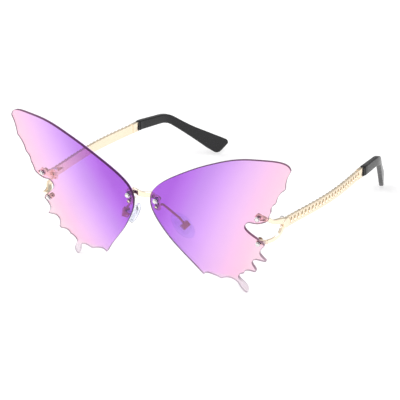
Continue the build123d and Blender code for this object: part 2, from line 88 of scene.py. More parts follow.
# Paler parts of the lens: where the fringe by the spikes and the tail start and end, and their colours
FRINGE_WAY = ACROSS * 0.89 - UPWARD * 0.455
FRINGE_SPAN = (20, 29)
FRINGE_TINT = (0.87, 0.67, 0.76)
FRINGE_RIM = (0.40, 0.29, 0.35)
TAIL_SPAN = (31.5, 36)
TAIL_TINT = (0.80, 0.71, 0.76)
TAIL_RIM = (0.70, 0.62, 0.67)

# Fork of an end piece: its upper lens seat, where its prongs meet, the fall and slimming of the upper
# prong along its run, and how far the lower prong bows
UPPER_SEAT = Vector((60.3, -72.0, 44.31)) * MM
FORK_MEET = Vector((65.5, -55.36, 37.7)) * MM
PRONG_FALL = ((0, 0.34, 0.72, 1), (0, 0.5, 0.8, 1))
PRONG_SLIM = ((0.3, 0.5, 0.85), (0.55, 0.62, 1))
PRONG_SLIM_REACH = (1.0 * MM, 2.4 * MM)
PRONG_UNDERSIDE = 2.2 * MM
PRONG_BOW = Vector((1.2, -1.9, 0.5)) * MM
PRONG_BOW_HEIGHTS = (30 * MM, 36.5 * MM)
PRONG_BOW_DEPTHS = (-59.5 * MM, -57 * MM)

# Slotted screws: radii of shank and head, heights of tail and seat, rise of the dome, and the slot
DOME_DEGREES = (8, 22, 38, 54, 70, 82)
SCREW_SIDES = 40
LENS_SCREW = {"shank": 0.6 * MM, "tail": -4.46 * MM, "head": 0.95 * MM, "rise": 0.6 * MM, "seat": 0.34 * MM,
              "slot_width": 0.28 * MM, "slot_depth": 0.22 * MM}
HINGE_SCREW = {"shank": 0.55 * MM, "tail": -5.02 * MM, "head": 0.9 * MM, "rise": 0.45 * MM, "seat": 0,
               "slot_width": 0.26 * MM, "slot_depth": 0.2 * MM}
PAD_SCREW = {"shank": 0.45 * MM, "tail": -3.8 * MM, "head": 0.75 * MM, "rise": 0.37 * MM, "seat": 0,
             "slot_width": 0.24 * MM, "slot_depth": 0.18 * MM}

# Hinge, and the temple's band with its row of links and the painted shade in their slots
HINGE_TOP = Vector((63.7, -54.96, 39.318)) * MM
TEMPLE_START = Vector((65.5, -52.81, 36.798)) * MM
TEMPLE_SLOPE = math.radians(3.0)
TEMPLE_WAY = Vector((0, math.cos(TEMPLE_SLOPE), -math.sin(TEMPLE_SLOPE)))
TEMPLE_UP = Vector((0, math.sin(TEMPLE_SLOPE), math.cos(TEMPLE_SLOPE)))
BAND_LENGTH = 73.5 * MM
BAND_THICK = 1.5 * MM
BAND_BOW = 2.4 * MM
BAND_BOW_POWER = 1.3
BAND_CUTS = 24
LINK_COUNT = 23
LINK_PITCH = 3.0 * MM
LINK_START = 1.62 * MM
LINK_SLANT = math.radians(26)
LINK_RISE = 0.42 * MM
LINK_HALVES = (1.85 * MM, 0.88 * MM)
LINK_WIRE = (0.46 * MM, 0.368 * MM)
LINK_LAP = math.radians(14)
LINK_POINTS = (28, 10)
# Size, points and profile of the dark oval of painted shade that sits in each link's slot
SLOT_SHADE_HALVES = (1.42 * MM, 0.42 * MM)
SLOT_SHADE_POINTS = 20
SLOT_SHADE_PROFILE = ((0.3, -0.05), (0.85, 0.03), (1, -0.05), (1, -0.4), (0.3, -0.42))

# Temple tip: corners of its way as shares of its run, inset and fall, its sizes along that way as shares of
# the first, the ring cut into its start in millimetres, and its rounded, lifted end
TIP_INSET = 17.7 * MM
TIP_REAR = 75.3 * MM
TIP_END_HEIGHT = 2.65 * MM
TIP_BEND = 17.7 * MM
TIP_SIZE = (3.0 * MM, 5.0 * MM)
TIP_WAY_SHARES = ((0.055, 0.0, 0.005), (0.43, 0.18, 0.098), (1.0, 1.0, 1.0))
TIP_HEIGHT_SHARES = (1.0, 0.99, 0.97, 0.95, 0.93, 0.91, 0.91, 0.94, 1.01, 1.12, 1.28, 1.46, 1.64, 1.78, 1.86)
TIP_THICK_SHARES = (1.0, 0.98, 0.95, 0.92, 0.89, 0.86, 0.84, 0.82, 0.8, 0.79, 0.78, 0.77, 0.76, 0.75, 0.72)
TIP_START_SPOTS = (0, 0.1, 0.75, 0.85, 1.1, 1.2, 1.5)
TIP_START_CUTS = (0.25, 0.12, 0.12, 0.38, 0.38, 0.1, 0.0)
TIP_END_REACH = (0.9 * MM, 3.0 * MM)
TIP_END_LIFT = 1.0 * MM
TIP_LIFT_SHARES = ((0.62, 0.85, 1), (0, 0.4, 1))
TIP_END_SLANT = 0.34
TIP_SLANT_SHARES = ((0.8, 1), (0, 1))
TIP_CORNER = 0.62 * MM
TIP_GAP = 0.05 * MM

# Nose pad: its middle, directions and size, and its screw's pivot, axis and box
PAD_MIDDLE = Vector((14.0, -62.56, 28.298)) * MM
PAD_DOWN = Vector((0.60, 0.18, -0.775))
PAD_REAR = Vector((0.70, -0.59, 0.405))
PAD_SIZE = (15.0 * MM, 8.0 * MM, 2.8 * MM)
PAD_PIVOT = Vector((16.3075, -64.5049, 29.6331)) * MM
PAD_AXIS = Vector((0.385288, 0.787418, 0.481172))
PAD_BOX_HALF = 1.9 * MM
PAD_ROUNDNESS = 0.62
PAD_RING_DEGREES = 86
PAD_RINGS = 30
PAD_RING_POINTS = 56


def mirrored(place, flip):
    """A place of the left side, or its mirror image on the right where flip is -1."""
    return Vector((place.x * flip, place.y, place.z))


def once_round(count):
    """Even angles once round a circle."""
    return np.linspace(0, 2 * math.pi, count, endpoint=False)


def placed(name, data):
    """An object in the scene with the given data."""
    made = bpy.data.objects.new(name, data)
    bpy.context.scene.collection.objects.link(made)
    return made


# Camera, floor and light

LIGHT_FROM = Vector((0.25, -0.75, 0.5)).normalized()


def look_from(azimuth, elevation, roll, distance, aim, aim_pixel, focal_pixels, frame_pixels):
    """Camera whose aim point falls on a given pixel of the square frame."""
    a, e, r = (math.radians(v) for v in (azimuth, elevation, roll))
    back = Vector((math.sin(a) * math.cos(e), -math.cos(a) * math.cos(e), math.sin(e)))
    right = Vector((math.cos(a), math.sin(a), 0))
    up = back.cross(right)
    right_rolled = right * math.cos(r) + up * math.sin(r)
    up_rolled = up * math.cos(r) - right * math.sin(r)
    shift_x = (aim_pixel[0] - frame_pixels / 2) / focal_pixels * distance
    shift_y = (frame_pixels / 2 - aim_pixel[1]) / focal_pixels * distance
    place = aim + back * distance - right_rolled * shift_x - up_rolled * shift_y
    camera = placed("camera", bpy.data.cameras.new("camera"))
    turn = Matrix((right_rolled, up_rolled, back)).transposed().to_4x4()
    camera.matrix_world = Matrix.Translation(place) @ turn
    camera.data.sensor_width = 36
    camera.data.lens = focal_pixels / frame_pixels * camera.data.sensor_width
    camera.data.clip_end = 20
    bpy.context.scene.camera = camera


def area_lamp(name, place, target, size, watts):
    """A round soft lamp that faces its target."""
    lamp = bpy.data.lights.new(name, "AREA")
    lamp.shape = "DISK"
    lamp.size = size
    lamp.energy = watts
    holder = placed(name, lamp)
    way = Vector(target) - Vector(place)
    turn = way.to_track_quat("-Z", "Y").to_matrix().to_4x4()
    holder.matrix_world = Matrix.Translation(place) @ turn


def set_inputs(node, pairs):
    """Sets a node's inputs, given as pairs of name and value."""
    for name, value in pairs:
        node.inputs[name].default_value = value


def shader_node(tree, kind, inputs=(), **settings):
    """A shader node with its settings, and inputs given as pairs of name and value."""
    made = tree.nodes.new(kind)
    for name, value in settings.items():
        setattr(made, name, value)
    set_inputs(made, inputs)
    return made


def build_world():
    """White where it is seen directly or through glass, and for the rest a room that dims behind the glasses."""
    world = bpy.data.worlds.new("studio")
    bpy.context.scene.world = world
    world.use_nodes = True
    tree = world.node_tree
    tree.nodes.clear()
    path = shader_node(tree, "ShaderNodeLightPath")
    seen = shader_node(tree, "ShaderNodeMath", operation="MAXIMUM")
    tree.links.new(path.outputs["Is Camera Ray"], seen.inputs[0])
    tree.links.new(path.outputs["Is Transmission Ray"], seen.inputs[1])
    way = tree.nodes.new("ShaderNodeTexCoord")
    toward = shader_node(tree, "ShaderNodeVectorMath", operation="DOT_PRODUCT")
    toward.inputs[1].default_value = LIGHT_FROM
    tree.links.new(way.outputs["Generated"], toward.inputs[0])
    rise = shader_node(tree, "ShaderNodeMapRange", (("From Min", -0.6), ("From Max", 0.7),
                                                    ("To Min", 0.48), ("To Max", 1.05)))
    tree.links.new(toward.outputs["Value"], rise.inputs["Value"])
    light = shader_node(tree, "ShaderNodeBackground", (("Color", (1, 1, 1, 1)),))
    tree.links.new(rise.outputs[0], light.inputs["Strength"])
    backdrop = shader_node(tree, "ShaderNodeBackground", (("Color", (1, 1, 1, 1)), ("Strength", 1.0)))
    mix = tree.nodes.new("ShaderNodeMixShader")
    out = tree.nodes.new("ShaderNodeOutputWorld")
    tree.links.new(seen.outputs[0], mix.inputs["Fac"])
    tree.links.new(light.outputs[0], mix.inputs[1])
    tree.links.new(backdrop.outputs[0], mix.inputs[2])
    tree.links.new(mix.outputs[0], out.inputs["Surface"])


def build_floor():
    """White paper that glows a little, so that shadows on it stay faint."""
    mesh = bpy.data.meshes.new("floor")
    half = 3.0
    mesh.from_pydata([(-half, -half, 0), (half, -half, 0), (half, half, 0), (-half, half, 0)], [], [(0, 1, 2, 3)])
    paper = bpy.data.materials.new("white_paper")
    paper.use_nodes = True
    set_inputs(paper.node_tree.nodes["Principled BSDF"], (
        ("Base Color", (0.72, 0.72, 0.72, 1)), ("Roughness", 0.9), ("Specular IOR Level", 0.0),
        ("Emission Color", (1, 1, 1, 1)), ("Emission Strength", 0.30)))
    mesh.materials.append(paper)
    placed("floor", mesh)


look_from(azimuth=32.33, elevation=24.31, roll=-2.41, distance=1.1817,
          aim=Vector((0, LENS_MIDDLE.y, LENS_MIDDLE.z)), aim_pixel=(143.8, 204.0),
          focal_pixels=2500, frame_pixels=400)
build_world()
build_floor()
area_lamp("key", place=(0.5, -0.9, 1.3), target=(0, 0, 0.03), size=0.9, watts=9)
area_lamp("fill", place=(-1.2, -0.3, 0.9), target=(0, 0, 0.03), size=1.0, watts=5)
bpy.context.scene.view_settings.view_transform = "Standard"


# Effects that several materials share

def new_group(name, ins, outs):
    """An empty shader node group with named sockets, and its two end nodes."""
    tree = bpy.data.node_groups.new(name, "ShaderNodeTree")
    for label, kind, value in ins:
        tree.interface.new_socket(label, in_out="INPUT", socket_type=kind).default_value = value
    for label, kind in outs:
        tree.interface.new_socket(label, in_out="OUTPUT", socket_type=kind)
    return tree, tree.nodes.new("NodeGroupInput"), tree.nodes.new("NodeGroupOutput")


def color_mix(tree, share, first, second):
    """A colour between two, where each is a socket or three numbers."""
    mix = shader_node(tree, "ShaderNodeMix", data_type="RGBA")
    tree.links.new(share, mix.inputs[0])
    for socket, color in zip([s for s in mix.inputs if s.type == "RGBA"], (first, second)):
        if isinstance(color, tuple):
            socket.default_value = (*color, 1)
        else:
            tree.links.new(color, socket)
    return next(s for s in mix.outputs if s.type == "RGBA")


def handling_group():
    """Fine polishing marks and a faint film from handling: an uneven roughness, tone and normal."""
    tree, start, end = new_group(
        "handling", (("Scale", "NodeSocketFloat", 900.0), ("Smooth", "NodeSocketFloat", 0.15),
                     ("Rough", "NodeSocketFloat", 0.3), ("Relief", "NodeSocketFloat", 0.05),
                     ("Light", "NodeSocketColor", (1, 1, 1, 1)), ("Deep", "NodeSocketColor", (0.5, 0.5, 0.5, 1))),
        (("Color", "NodeSocketColor"), ("Roughness", "NodeSocketFloat"), ("Normal", "NodeSocketVector")))
    place = tree.nodes.new("ShaderNodeTexCoord")
    film = shader_node(tree, "ShaderNodeTexNoise", (("Detail", 4.0), ("Roughness", 0.6)))
    tree.links.new(place.outputs["Object"], film.inputs["Vector"])
    tree.links.new(start.outputs["Scale"], film.inputs["Scale"])
    rough = shader_node(tree, "ShaderNodeMapRange", (("From Min", 0.3), ("From Max", 0.7)))
    tree.links.new(film.outputs["Fac"], rough.inputs["Value"])
    tree.links.new(start.outputs["Smooth"], rough.inputs["To Min"])
    tree.links.new(start.outputs["Rough"], rough.inputs["To Max"])
    tree.links.new(rough.outputs[0], end.inputs["Roughness"])
    cloud = shader_node(tree, "ShaderNodeTexNoise", (("Scale", 160.0), ("Detail", 3.0)))
    tree.links.new(place.outputs["Object"], cloud.inputs["Vector"])
    tone = color_mix(tree, cloud.outputs["Fac"], start.outputs["Light"], start.outputs["Deep"])
    tree.links.new(tone, end.inputs["Color"])
    bump = shader_node(tree, "ShaderNodeBump", (("Distance", 0.00002),))
    tree.links.new(film.outputs["Fac"], bump.inputs["Height"])
    tree.links.new(start.outputs["Relief"], bump.inputs["Strength"])
    tree.links.new(bump.outputs["Normal"], end.inputs["Normal"])
    return tree


HANDLING = handling_group()


def material(name, *inputs):
    """A new material, its node tree and its Principled shader, with inputs given as pairs of name and value."""
    made = bpy.data.materials.new(name)
    made.use_nodes = True
    shader = made.node_tree.nodes["Principled BSDF"]
    set_inputs(shader, inputs)
    return made, made.node_tree, shader


def handled(tree, shader, scale, smooth, rough, relief, light, deep):
    """Puts the handling group in a material with its own values."""
    group = tree.nodes.new("ShaderNodeGroup")
    group.node_tree = HANDLING
    set_inputs(group, (("Scale", scale), ("Smooth", smooth), ("Rough", rough), ("Relief", relief),
                       ("Light", (*light, 1)), ("Deep", (*deep, 1))))
    tree.links.new(group.outputs["Color"], shader.inputs["Base Color"])
    tree.links.new(group.outputs["Roughness"], shader.inputs["Roughness"])
    tree.links.new(group.outputs["Normal"], shader.inputs["Normal"])


def let_light_through(tree, shader, color, reflections_too=False):
    """Tinted passage for shadow rays, and for reflections in metal, with the shader for all other rays."""
    path = shader_node(tree, "ShaderNodeLightPath")
    passing = path.outputs["Is Shadow Ray"]
    if reflections_too:
        reflected = shader_node(tree, "ShaderNodeMath", operation="SUBTRACT", use_clamp=True)
        tree.links.new(path.outputs["Is Glossy Ray"], reflected.inputs[0])
        tree.links.new(path.outputs["Is Transmission Ray"], reflected.inputs[1])
        either = shader_node(tree, "ShaderNodeMath", operation="MAXIMUM")
        tree.links.new(passing, either.inputs[0])
        tree.links.new(reflected.outputs[0], either.inputs[1])
        passing = either.outputs[0]
    clear = shader_node(tree, "ShaderNodeBsdfTransparent", (("Color", (*color, 1)),))
    mix = shader_node(tree, "ShaderNodeMixShader")
    tree.links.new(passing, mix.inputs[0])
    tree.links.new(shader.outputs[0], mix.inputs[1])
    tree.links.new(clear.outputs[0], mix.inputs[2])
    tree.links.new(mix.outputs[0], tree.nodes["Material Output"].inputs["Surface"])


def metal(name, light, deep, smooth, rough):
    """Bare or plated metal with two tones and a range of roughness."""
    made, tree, shader = material(name, ("Metallic", 1.0))
    handled(tree, shader, 900.0, smooth, rough, relief=0.04, light=light, deep=deep)
    return made


def clear_solid(name, light, deep, smooth, rough, ior, shadow):
    """Clear moulded material, with the colour that its shadow takes."""
    made, tree, shader = material(name, ("Transmission Weight", 1.0), ("IOR", ior))
    handled(tree, shader, 300.0, smooth, rough, relief=0.0, light=light, deep=deep)
    let_light_through(tree, shader, shadow)
    return made


def black_acetate():
    """Black plastic with a soft gloss."""
    made, tree, shader = material("black_acetate", ("Specular IOR Level", 0.32))
    handled(tree, shader, scale=700.0, smooth=0.22, rough=0.34, relief=0.05,
            light=(0.011, 0.011, 0.012), deep=(0.007, 0.007, 0.008))
    return made


def lens_fade_group():
    """The fade of either lens from 0 by the nose to 1 at the wing, its paler outer fringe and its pale tail."""
    tree, start, end = new_group("lens_fade", (), (("Fade", "NodeSocketFloat"), ("Fringe", "NodeSocketFloat"),
                                                   ("Tail", "NodeSocketFloat")))
    place = tree.nodes.new("ShaderNodeTexCoord")
    split = tree.nodes.new("ShaderNodeSeparateXYZ")
    tree.links.new(place.outputs["Object"], split.inputs[0])
    side = shader_node(tree, "ShaderNodeMath", operation="ABSOLUTE")
    tree.links.new(split.outputs["X"], side.inputs[0])
    either = tree.nodes.new("ShaderNodeCombineXYZ")
    tree.links.new(side.outputs[0], either.inputs["X"])
    tree.links.new(split.outputs["Y"], either.inputs["Y"])
    tree.links.new(split.outputs["Z"], either.inputs["Z"])
    for output, slant, (first, last) in (("Fade", FADE_WAY, FADE_SPAN), ("Fringe", FRINGE_WAY, FRINGE_SPAN),
                                         ("Tail", -UPWARD, TAIL_SPAN)):
        run = shader_node(tree, "ShaderNodeVectorMath", operation="DOT_PRODUCT")
        run.inputs[1].default_value = slant
        tree.links.new(either.outputs[0], run.inputs[0])
        middle = LENS_MIDDLE.dot(slant)
        share = shader_node(tree, "ShaderNodeMapRange", (("From Min", middle + first * MM),
                                                         ("From Max", middle + last * MM)))
        tree.links.new(run.outputs["Value"], share.inputs["Value"])
        tree.links.new(share.outputs[0], end.inputs[output])
    return tree


LENS_FADE = lens_fade_group()


def faded_color(tree, stops, fringe, tail):
    """Colours at their places along the lens's fade, and the colours of its fringe and its tail."""
    group = tree.nodes.new("ShaderNodeGroup")
    group.node_tree = LENS_FADE
    ramp = tree.nodes.new("ShaderNodeValToRGB")
    elements = ramp.color_ramp.elements
    for spot, color in stops:
        share = (spot - FADE_SPAN[0]) / (FADE_SPAN[1] - FADE_SPAN[0])
        stop = elements[0] if share == 0 else elements[-1] if share == 1 else elements.new(share)
        stop.position = share
        stop.color = (*color, 1)
    tree.links.new(group.outputs["Fade"], ramp.inputs["Fac"])
    color = ramp.outputs["Color"]
    for output, other in (("Fringe", fringe), ("Tail", tail)):
        color = color_mix(tree, group.outputs[output], color, other)
    return color


def lens_tint():
    """Tinted glass that fades from violet through lilac to pink."""
    made, tree, shader = material("lens_tint", ("Roughness", 0.0), ("IOR", 1.5), ("Transmission Weight", 1.0))
    tree.links.new(faded_color(tree, TINT_STOPS, FRINGE_TINT, TAIL_TINT), shader.inputs["Base Color"])
    let_light_through(tree, shader, (0.93, 0.89, 0.95), reflections_too=True)
    return made


def lens_edge():
    """The cut edge, where light that has run through the tint comes out dark mauve."""
    made, tree, shader = material("lens_edge", ("Roughness", 0.4), ("Specular IOR Level", 0.22))
    tree.links.new(faded_color(tree, RIM_STOPS, FRINGE_RIM, TAIL_RIM), shader.inputs["Base Color"])
    return made


def painted_slot_shade():
    """Painted shade: a dark bronze colour standing for the shaded depths of the slots in the link pattern."""
    made, tree, shader = material("painted_slot_shade")
    handled(tree, shader, scale=900.0, smooth=0.5, rough=0.7, relief=0.1,
            light=(0.33, 0.24, 0.145), deep=(0.24, 0.17, 0.10))
    return made


TINT = lens_tint()
EDGE = lens_edge()
GOLD = metal("pale_gold", light=(0.99, 0.87, 0.69), deep=(0.96, 0.81, 0.62), smooth=0.12, rough=0.24)
DEEP_GOLD = metal("deep_gold", light=(0.66, 0.42, 0.30), deep=(0.55, 0.33, 0.22), smooth=0.12, rough=0.24)
BAND_GOLD = metal("band_gold", light=(0.98, 0.85, 0.66), deep=(0.93, 0.77, 0.57), smooth=0.14, rough=0.28)
# The nuts are gold; this darker brown is painted shade for their place behind the lens
NUT_GOLD_PAINTED_SHADE = metal("nut_gold_painted_shade", light=(0.42, 0.29, 0.22), deep=(0.32, 0.21, 0.16), smooth=0.15, rough=0.28)
STEEL = metal("polished_steel", light=(0.86, 0.85, 0.83), deep=(0.74, 0.73, 0.72), smooth=0.1, rough=0.2)
CLEAR = clear_solid("clear_plastic", light=(0.97, 0.98, 0.99), deep=(0.93, 0.95, 0.98), smooth=0.02, rough=0.08,
                    ior=1.49, shadow=(0.93, 0.94, 0.96))
SILICONE = clear_solid("silicone", light=(0.87, 0.895, 0.975), deep=(0.84, 0.875, 0.965), smooth=0.04, rough=0.12,
                       ior=1.16, shadow=(0.9, 0.91, 0.94))
INSERT = clear_solid("clear_insert", light=(0.93, 0.93, 0.96), deep=(0.9, 0.9, 0.94), smooth=0.1, rough=0.2,
                     ior=1.2, shadow=(0.8, 0.8, 0.84))
BLACK = black_acetate()
# Painted shade for the slots between the links
SLOT_SHADE_PAINT = painted_slot_shade()


# Meshes

def finished(name, data, body, stands_for, finishes):
    """A shown piece with its finishes, riding its body and standing for its CAD nodes."""
    data.name = name
    while data.materials:
        data.materials.pop()
    for finish in finishes:
        data.materials.append(finish)
    piece = placed(name, data)
    if stands_for:
        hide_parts(*stands_for)
    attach(piece, body)


def smooth_faces(data):
    """Shades every face of the mesh smooth."""
    for face in data.polygons:
        face.use_smooth = True


def mesh_data(mesh, sharp_degrees):
    """Ends an edit mesh: normals out, smooth but for edges sharper than the angle."""
    bmesh.ops.recalc_face_normals(mesh, faces=mesh.faces)
    data = bpy.data.meshes.new("piece")
    mesh.to_mesh(data)
    mesh.free()
    smooth_faces(data)
    data.set_sharp_from_angle(angle=math.radians(sharp_degrees))
    finishes = {}
    for face in data.polygons:
        for key in face.edge_keys:
            finishes.setdefault(key, set()).add(face.material_index)
    for edge in data.edges:
        if len(finishes[edge.key]) > 1:
            edge.use_edge_sharp = True
    return data


def merged_copy(name):
    """The node's mesh with its loose triangles joined."""
    mesh = bmesh.new()
    mesh.from_mesh(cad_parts[name].data)
    bmesh.ops.remove_doubles(mesh, verts=mesh.verts, dist=MERGE_REACH)
    return mesh


def plain_mesh(holder):
    """The mesh of an object after its modifiers; the object itself is removed."""
    depsgraph = bpy.context.evaluated_depsgraph_get()
    data = bpy.data.meshes.new_from_object(holder.evaluated_get(depsgraph), depsgraph=depsgraph)
    holder.modifiers.clear()
    bpy.data.objects.remove(holder)
    return data


def evaluated(data, modifiers):
    """The mesh after modifiers, given as name, kind and settings."""
    holder = placed("holder", data)
    for name, kind, settings in modifiers:
        made = holder.modifiers.new(name, kind)
        for setting, value in settings.items():
            setattr(made, setting, value)
    return plain_mesh(holder)


def with_flats(mesh):
    """Ends an edit mesh from the CAD, smooth between its real edges and with its flats kept flat."""
    return evaluated(mesh_data(mesh, sharp_degrees=32), (("flats", "WEIGHTED_NORMAL", {"keep_sharp": True}),))


def smooth_copy(name, new_name, body, finish):
    """A CAD piece as it is, in a finish of its own."""
    finished(new_name, with_flats(merged_copy(name)), body, [name], [finish])


def cast_copy(name, new_name, body, finish, grain, passes, reshape=None):
    """A CAD piece with all its joints and edges eased, like a polished casting."""
    data = evaluated(mesh_data(merged_copy(name), sharp_degrees=180), (
        ("grain", "REMESH", {"mode": "VOXEL", "voxel_size": grain}),
        ("ease", "SMOOTH", {"factor": 0.5, "iterations": passes})))
    for vert in data.vertices if reshape else ():
        vert.co = reshape(vert.co)
    smooth_faces(data)
    finished(new_name, data, body, [name], [finish])


def skin(mesh, rings, closed_ends):
    """Quads between rings of equal length, with a fan over each end where it is closed."""
    for near, far in zip(rings, rings[1:]):
        for i in range(len(near)):
            j = (i + 1) % len(near)
            mesh.faces.new((near[i], near[j], far[j], far[i]))
    if closed_ends:
        for ring in (rings[0], rings[-1]):
            middle = mesh.verts.new(sum((v.co for v in ring), Vector()) / len(ring))
            for i in range(len(ring)):
                mesh.faces.new((ring[i], ring[(i + 1) % len(ring)], middle))


def turned(profile, count):
    """Edit mesh turned about Z from (radius, height) pairs that start and end on the axis."""
    mesh = bmesh.new()
    rings = [[mesh.verts.new((r * math.cos(t), r * math.sin(t), h)) for t in once_round(count)]
             for r, h in profile[1:-1]]
    skin(mesh, rings, closed_ends=True)
    return mesh


# Geometry Nodes that set a piece again and again

def geometry_group(name, ins):
    """An empty Geometry Nodes group with named inputs, and its two end nodes."""
    tree = bpy.data.node_groups.new(name, "GeometryNodeTree")
    for label, kind in ins:
        tree.interface.new_socket(label, in_out="INPUT", socket_type=kind)
    tree.interface.new_socket("Geometry", in_out="OUTPUT", socket_type="NodeSocketGeometry")
    return tree, tree.nodes.new("NodeGroupInput"), tree.nodes.new("NodeGroupOutput")


def end_with_material(tree, start, end, instances):
    """Realize Instances and Set Material, as the last nodes."""
    solid = tree.nodes.new("GeometryNodeRealizeInstances")
    paint = tree.nodes.new("GeometryNodeSetMaterial")
    tree.links.new(instances.outputs["Instances"], solid.inputs[0])
    tree.links.new(solid.outputs[0], paint.inputs["Geometry"])
    tree.links.new(start.outputs["Finish"], paint.inputs["Material"])
    tree.links.new(paint.outputs[0], end.inputs[0])


def row_tree():
    """One piece repeated along a straight row."""
    tree, start, end = geometry_group("pieces_in_a_row", (
        ("Geometry", "NodeSocketGeometry"), ("Piece", "NodeSocketObject"), ("Count", "NodeSocketInt"),
        ("First", "NodeSocketVector"), ("Step", "NodeSocketVector"), ("Finish", "NodeSocketMaterial")))
    line = tree.nodes.new("GeometryNodeMeshLine")
    line.mode = "OFFSET"
    piece = tree.nodes.new("GeometryNodeObjectInfo")
    place = tree.nodes.new("GeometryNodeInstanceOnPoints")
    tree.links.new(start.outputs["Count"], line.inputs["Count"])
    tree.links.new(start.outputs["First"], line.inputs["Start Location"])
    tree.links.new(start.outputs["Step"], line.inputs["Offset"])
    tree.links.new(start.outputs["Piece"], piece.inputs["Object"])
    tree.links.new(line.outputs["Mesh"], place.inputs["Points"])
    tree.links.new(piece.outputs["Geometry"], place.inputs["Instance"])
    end_with_material(tree, start, end, place)
    return tree


def seat_tree():
    """One piece set on each point, turned by the point's own turn."""
    tree, start, end = geometry_group("pieces_on_seats", (
        ("Geometry", "NodeSocketGeometry"), ("Piece", "NodeSocketObject"), ("Finish", "NodeSocketMaterial")))
    turn = tree.nodes.new("GeometryNodeInputNamedAttribute")
    turn.data_type = "FLOAT_VECTOR"
    turn.inputs["Name"].default_value = "turn"
    rotation = tree.nodes.new("FunctionNodeEulerToRotation")
    piece = tree.nodes.new("GeometryNodeObjectInfo")
    place = tree.nodes.new("GeometryNodeInstanceOnPoints")
    tree.links.new(turn.outputs["Attribute"], rotation.inputs[0])
    tree.links.new(start.outputs["Piece"], piece.inputs["Object"])
    tree.links.new(start.outputs["Geometry"], place.inputs["Points"])
    tree.links.new(piece.outputs["Geometry"], place.inputs["Instance"])
    tree.links.new(rotation.outputs[0], place.inputs["Rotation"])
    end_with_material(tree, start, end, place)
    return tree


ROW = row_tree()
SEATS = seat_tree()


def grown(tree, points, values):
    """Mesh that a Geometry Nodes tree makes from points and named inputs."""
    holder = placed("holder", points)
    modifier = holder.modifiers.new("grow", "NODES")
    modifier.node_group = tree
    for socket in tree.interface.items_tree:
        if socket.name in values:
            modifier[socket.identifier] = values[socket.name]
    return plain_mesh(holder)


def on_seats(data, seats, finish):
    """One mesh with the piece on every seat, a seat being a place and a turn."""
    points = bpy.data.meshes.new("seats")
    points.from_pydata([place for place, turn in seats], [], [])
    turns = points.attributes.new("turn", "FLOAT_VECTOR", "POINT")
    for item, (place, turn) in zip(turns.data, seats):
        item.vector = turn.to_euler("XYZ")
    piece = placed("piece", data)
    made = grown(SEATS, points, {"Piece": piece, "Finish": finish})
    bpy.data.objects.remove(piece)
    return made


# Lenses

def front_loops(name, flip):
    """Closed edge loops of the curved front surface, as (across, up) places."""
    mesh = merged_copy(name)

    def on_front(vert):
        """True for a point of the ball that the front is part of."""
        return abs((mirrored(vert.co, flip) - BALL_MIDDLE).length - LENS_BALL) < FRONT_REACH

    front = {face for face in mesh.faces if all(on_front(v) for v in face.verts)}
    links = {}
    for rim in mesh.edges:
        if sum(face in front for face in rim.link_faces) == 1:
            a, b = rim.verts
            links.setdefault(a, []).append(b)
            links.setdefault(b, []).append(a)
    loops = []
    while links:
        here, last, loop = next(iter(links)), None, []
        while here is not None:
            loop.append(here)
            ways = [v for v in links.pop(here) if v is not last and v in links]
            last, here = here, ways[0] if ways else None
        loops.append(loop)
    places = []
    for loop in loops:
        ways = [mirrored(v.co, flip) - LENS_MIDDLE for v in loop]
        places.append(np.array([(way.dot(ACROSS), way.dot(UPWARD)) for way in ways]))
    mesh.free()
    return sorted(places, key=len, reverse=True)


def walk_evenly(loop, step):
    """The closed loop again, with points a steady step apart."""
    closed = np.vstack([loop, loop[:1]])
    run = np.concatenate([[0], np.cumsum(np.linalg.norm(np.diff(closed, axis=0), axis=1))])
    spots = np.linspace(0, run[-1], int(run[-1] / step), endpoint=False)
    return np.stack([np.interp(spots, run, closed[:, k]) for k in (0, 1)], axis=1)


def rounded(loop, passes):
    """Corners eased by averaging each point with its neighbours."""
    for _ in range(passes):
        loop = 0.5 * loop + 0.25 * (np.roll(loop, 1, 0) + np.roll(loop, -1, 0))
    return loop


def anticlockwise(loop):
    """The closed loop, turned round where it runs clockwise."""
    x, y = loop[:, 0], loop[:, 1]
    area = np.sum(x * np.roll(y, -1) - np.roll(x, -1) * y)
    return loop if area > 0 else loop[::-1]


def outward(loop):
    """Unit normals in the plane, pointing out of a loop that runs anticlockwise."""
    way = np.roll(loop, -1, 0) - np.roll(loop, 1, 0)
    side = np.stack([way[:, 1], -way[:, 0]], axis=1)
    return side / np.linalg.norm(side, axis=1, keepdims=True)


def inside(points, loop):
    """True for each point within the closed loop."""
    x, y = points[:, 0][:, None], points[:, 1][:, None]
    x1, y1 = loop[:, 0][None], loop[:, 1][None]
    x2, y2 = np.roll(loop[:, 0], -1)[None], np.roll(loop[:, 1], -1)[None]
    crosses = (y1 > y) != (y2 > y)
    with np.errstate(divide="ignore", invalid="ignore"):
        at = x1 + (y - y1) * (x2 - x1) / (y2 - y1)
    return (np.sum(crosses & (x < at), axis=1) % 2) == 1


def on_ball(place, depth, flip):
    """World place of a flat (across, up) place, at a depth behind the curved front."""
    u, v = place
    w = math.sqrt(LENS_BALL ** 2 - u * u - v * v)
    spot = BALL_MIDDLE + (ACROSS * u + UPWARD * v + FORWARD * w).normalized() * (LENS_BALL - depth)
    return mirrored(spot, flip)


def lens_rims(source, flip):
    """The lens's eased outline and its holes made round, each with its profile and the side it is inset to."""
    loops = front_loops(source, flip)
    rims = [(anticlockwise(rounded(walk_evenly(loops[0], OUTLINE_STEP), OUTLINE_PASSES)), EDGE_PROFILE, 1.0)]
    for loop in loops[1:]:
        middle = loop.mean(axis=0)
        radius = np.linalg.norm(loop - middle, axis=1).mean()
        turn = once_round(HOLE_POINTS)
        rims.append((middle + radius * np.stack([np.cos(turn), np.sin(turn)], axis=1), HOLE_PROFILE, -1.0))
    return rims


def within(points, rings):
    """True for each point inside the first ring and outside the others."""
    keep = inside(points, rings[0])
    for ring in rings[1:]:
        keep &= ~inside(points, ring)
    return keep


